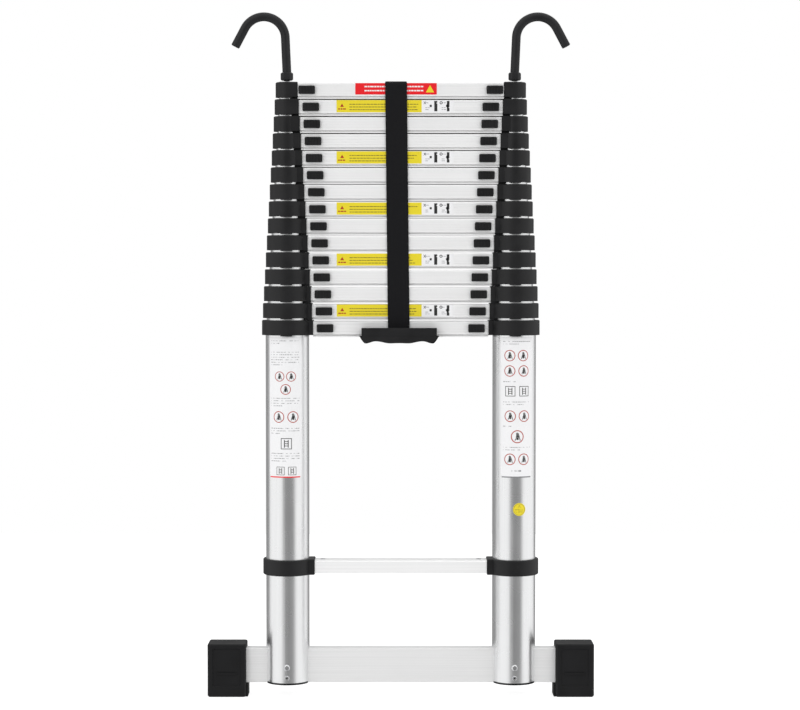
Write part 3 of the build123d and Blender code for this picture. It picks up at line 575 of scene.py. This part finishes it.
def make_strap():
    """Webbing with rounded selvedges, swept along the strap line; it leans a little to one side."""
    points, thick = strap_line()
    low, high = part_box("carry_strap")
    middle = (low.x + high.x) / 2
    half = (high.x - low.x) / 2 + 0.7 * MM
    lean = 2.3 * MM
    selvedge = 0.06                 # the share of the half width that is rounded off
    thinnest = 0.35                 # the edge's share of the full thickness
    profile = []
    across = 16
    for i in range(across + 1):
        s = -1 + 2 * i / across
        edge = math.sqrt(max(0.0, 1 - max(0.0, (abs(s) - (1 - selvedge)) / selvedge) ** 2))
        profile.append((s * half, thick / 2 * max(edge, thinnest)))
    outline = profile + [(x, -t) for x, t in reversed(profile)]
    foot_z, top_z = points[0][1], max(z for _, z in points)
    bm = bmesh.new()
    loops = []
    count = len(points)
    for i, (y, z) in enumerate(points):
        before, after = points[max(0, i - 1)], points[min(count - 1, i + 1)]
        direction = Vector((0, after[0] - before[0], after[1] - before[1])).normalized()
        normal = Vector((0, -direction.z, direction.y))
        shift = lean * (1 - 2 * (z - foot_z) / (top_z - foot_z))
        loop = [bm.verts.new(Vector((middle + shift + x, y, z)) + normal * t) for x, t in outline]
        loops.append(loop)
    size = len(outline)
    for a, b in zip(loops, loops[1:]):
        for i in range(size):
            j = (i + 1) % size
            bm.faces.new((a[i], a[j], b[j], b[i]))
    bm.faces.new(loops[0])
    bm.faces.new(list(reversed(loops[-1])))
    strap = finish_piece("strap_webbing", bm, [webbing], TOP)
    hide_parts("carry_strap")
    return strap


def swell(value, start, peak, finish):
    """A smooth hump from 0 at start to 1 at peak and back to 0 at finish."""
    if not start < value < finish:
        return 0.0
    part = (value - start) / (peak - start) if value < peak else (finish - value) / (finish - peak)
    return 0.5 - 0.5 * math.cos(math.pi * part)


def handle_outline():
    """Outline of the handle's front view: a plate on top, and finger waves along the grip below."""
    low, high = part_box("carry_handle")
    centre_x = (low.x + high.x) / 2
    grip = (high.x - low.x) / 2
    plate = grip - 4 * MM
    step_z = high.z - 13 * MM
    waist, fullness, end_rise = 3.6 * MM, 0.6 * MM, 12.2 * MM
    end_start = 0.85
    points = [(-plate, high.z), (-plate, step_z), (-grip, step_z)]
    samples = 60
    for i in range(samples + 1):
        s = -1 + 2 * i / samples
        x = s * (grip - 0.6 * MM)
        reach = abs(s)
        end = max(0.0, (reach - end_start) / (1 - end_start))
        rise = end_rise * end ** 1.6
        wave = waist * swell(reach, 0.2, 0.59, end_start)
        belly = fullness * swell(reach, -0.35, 0.0, 0.35)
        points.append((x, low.z + wave + belly + rise))
    points += [(grip, step_z), (plate, step_z), (plate, high.z)]
    return [(centre_x + x, z) for x, z in points]


def make_handle():
    """Carry handle: flat plate above a rounded finger grip."""
    low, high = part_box("carry_handle")

    def place(u, v, depth):
        return (u, high.y - depth, v)

    bm = bmesh.new()
    add_plate(bm, handle_outline(), 0, high.y - low.y, place, 0)
    handle = finish_piece("handle_grip", bm, [black_nylon], TOP)
    bevel = handle.modifiers.new("edge", "BEVEL")
    bevel.width = 2.4 * MM
    bevel.segments = 4
    bevel.limit_method = "ANGLE"
    bevel.angle_limit = math.radians(40)
    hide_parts("carry_handle")
    return handle


# ---------------------------------------------------------------- stage, light and camera

def make_floor():
    """A pale floor that glows enough to run into the white background; metal doesn't mirror it."""
    bpy.ops.mesh.primitive_plane_add(size=4.4, location=(0, 0, 0))
    floor = bpy.context.object
    floor.name = "floor"
    material, tree, shader = new_material("floor_pale", (0.5, 0.5, 0.5), 0.95)
    tint(tree, shader, noise(tree, EVEN, 3.0), (0.49, 0.49, 0.49), (0.51, 0.51, 0.51))
    shader.inputs["Specular IOR Level"].default_value = 0.0
    shader.inputs["Emission Color"].default_value = (1.0, 1.0, 1.0, 1)
    shader.inputs["Emission Strength"].default_value = 0.75
    floor.data.materials.append(material)
    floor.visible_glossy = False


def add_softbox(name, location, target, size, power):
    """A rectangular area light that faces its target."""
    light = bpy.data.lights.new(name, "AREA")
    light.shape = "RECTANGLE"
    light.size, light.size_y = size
    light.energy = power
    lamp = bpy.data.objects.new(name, light)
    lamp.location = location
    aim = Vector(target) - Vector(location)
    lamp.rotation_euler = aim.to_track_quat("-Z", "Y").to_euler()
    bpy.context.scene.collection.objects.link(lamp)


def make_world():
    """A white studio: bright walls left and right, grey ones in front and behind, white overhead."""
    turn = math.radians(9)
    side_white, front_shoulder, front_grey, back_grey = 1.0, 0.30, 0.27, 0.30
    world = bpy.data.worlds.new("studio")
    bpy.context.scene.world = world
    world.use_nodes = True
    tree = world.node_tree
    background = tree.nodes["Background"]
    coords = tree.nodes.new("ShaderNodeTexCoord")
    split = tree.nodes.new("ShaderNodeSeparateXYZ")
    tree.links.new(coords.outputs["Generated"], split.inputs[0])
    flat = add_node(tree, "ShaderNodeCombineXYZ")
    tree.links.new(split.outputs["X"], flat.inputs["X"])
    tree.links.new(split.outputs["Y"], flat.inputs["Y"])
    unit = add_node(tree, "ShaderNodeVectorMath", operation="NORMALIZE")
    tree.links.new(flat.outputs[0], unit.inputs[0])
    facing = add_node(tree, "ShaderNodeVectorMath", operation="DOT_PRODUCT")
    facing.inputs[1].default_value = (math.sin(turn), -math.cos(turn), 0)
    tree.links.new(unit.outputs[0], facing.inputs[0])
    toward = add_node(tree, "ShaderNodeMapRange")
    toward.inputs["From Min"].default_value = -1.0
    toward.inputs["From Max"].default_value = 1.0
    tree.links.new(facing.outputs["Value"], toward.inputs["Value"])
    ramp = add_node(tree, "ShaderNodeValToRGB")
    stops = ((0.0, back_grey), (0.22, back_grey), (0.31, side_white),
             (0.89, side_white), (0.955, front_shoulder), (1.0, front_grey))
    ramp.color_ramp.elements.remove(ramp.color_ramp.elements[0])
    for i, (position, value) in enumerate(stops):
        element = ramp.color_ramp.elements[0] if i == 0 else ramp.color_ramp.elements.new(position)
        element.position = position
        element.color = (value, value, value, 1)
    tree.links.new(toward.outputs["Result"], ramp.inputs["Fac"])
    high = add_node(tree, "ShaderNodeMapRange")
    high.inputs["From Min"].default_value = 0.35
    high.inputs["From Max"].default_value = 0.6
    tree.links.new(split.outputs["Z"], high.inputs["Value"])
    mix = add_node(tree, "ShaderNodeMix", data_type="RGBA")
    mix.inputs[7].default_value = (1.0, 1.0, 1.0, 1)
    tree.links.new(high.outputs["Result"], mix.inputs[0])
    tree.links.new(ramp.outputs["Color"], mix.inputs[6])
    rays = tree.nodes.new("ShaderNodeLightPath")
    seen = add_node(tree, "ShaderNodeMix", data_type="RGBA")
    seen.inputs[7].default_value = (1.0, 1.0, 1.0, 1)
    tree.links.new(rays.outputs["Is Camera Ray"], seen.inputs[0])
    tree.links.new(mix.outputs[2], seen.inputs[6])
    tree.links.new(seen.outputs[2], background.inputs["Color"])
    background.inputs["Strength"].default_value = 1.0


def make_camera():
    """A long lens a little above the middle of the ladder, tipped slightly down."""
    distance, height, aim_height, aside = 3.6, 0.70, 0.5606, -0.0013
    camera_data = bpy.data.cameras.new("camera")
    camera_data.sensor_width = 36.0
    camera_data.lens = 98.8
    camera = bpy.data.objects.new("camera", camera_data)
    camera.location = (aside, -distance, height)
    aim = Vector((aside, 0, aim_height)) - camera.location
    camera.rotation_euler = aim.to_track_quat("-Z", "Y").to_euler()
    bpy.context.scene.collection.objects.link(camera)
    bpy.context.scene.camera = camera


make_camera()
make_world()
make_floor()
for name, side in (("key_left", -1), ("key_right", 1)):
    add_softbox(name, (side * 1.9, -2.6, 2.3), (0, 0, 0.6), (1.4, 1.4), 11)
add_softbox("overhead", (0, -0.2, 3.0), (0, 0, 0), (2.5, 2.5), 8)
bpy.context.scene.view_settings.view_transform = "Standard"

dress_cad_nodes()
draws = random.Random(7)
for number in (13, 10, 7, 4, 1):
    make_yellow_label(number, draws)
make_red_label(draws)
make_tube_label(-1, draws)
make_tube_label(1, draws)
make_round_sticker(draws)
make_strap()
make_handle()
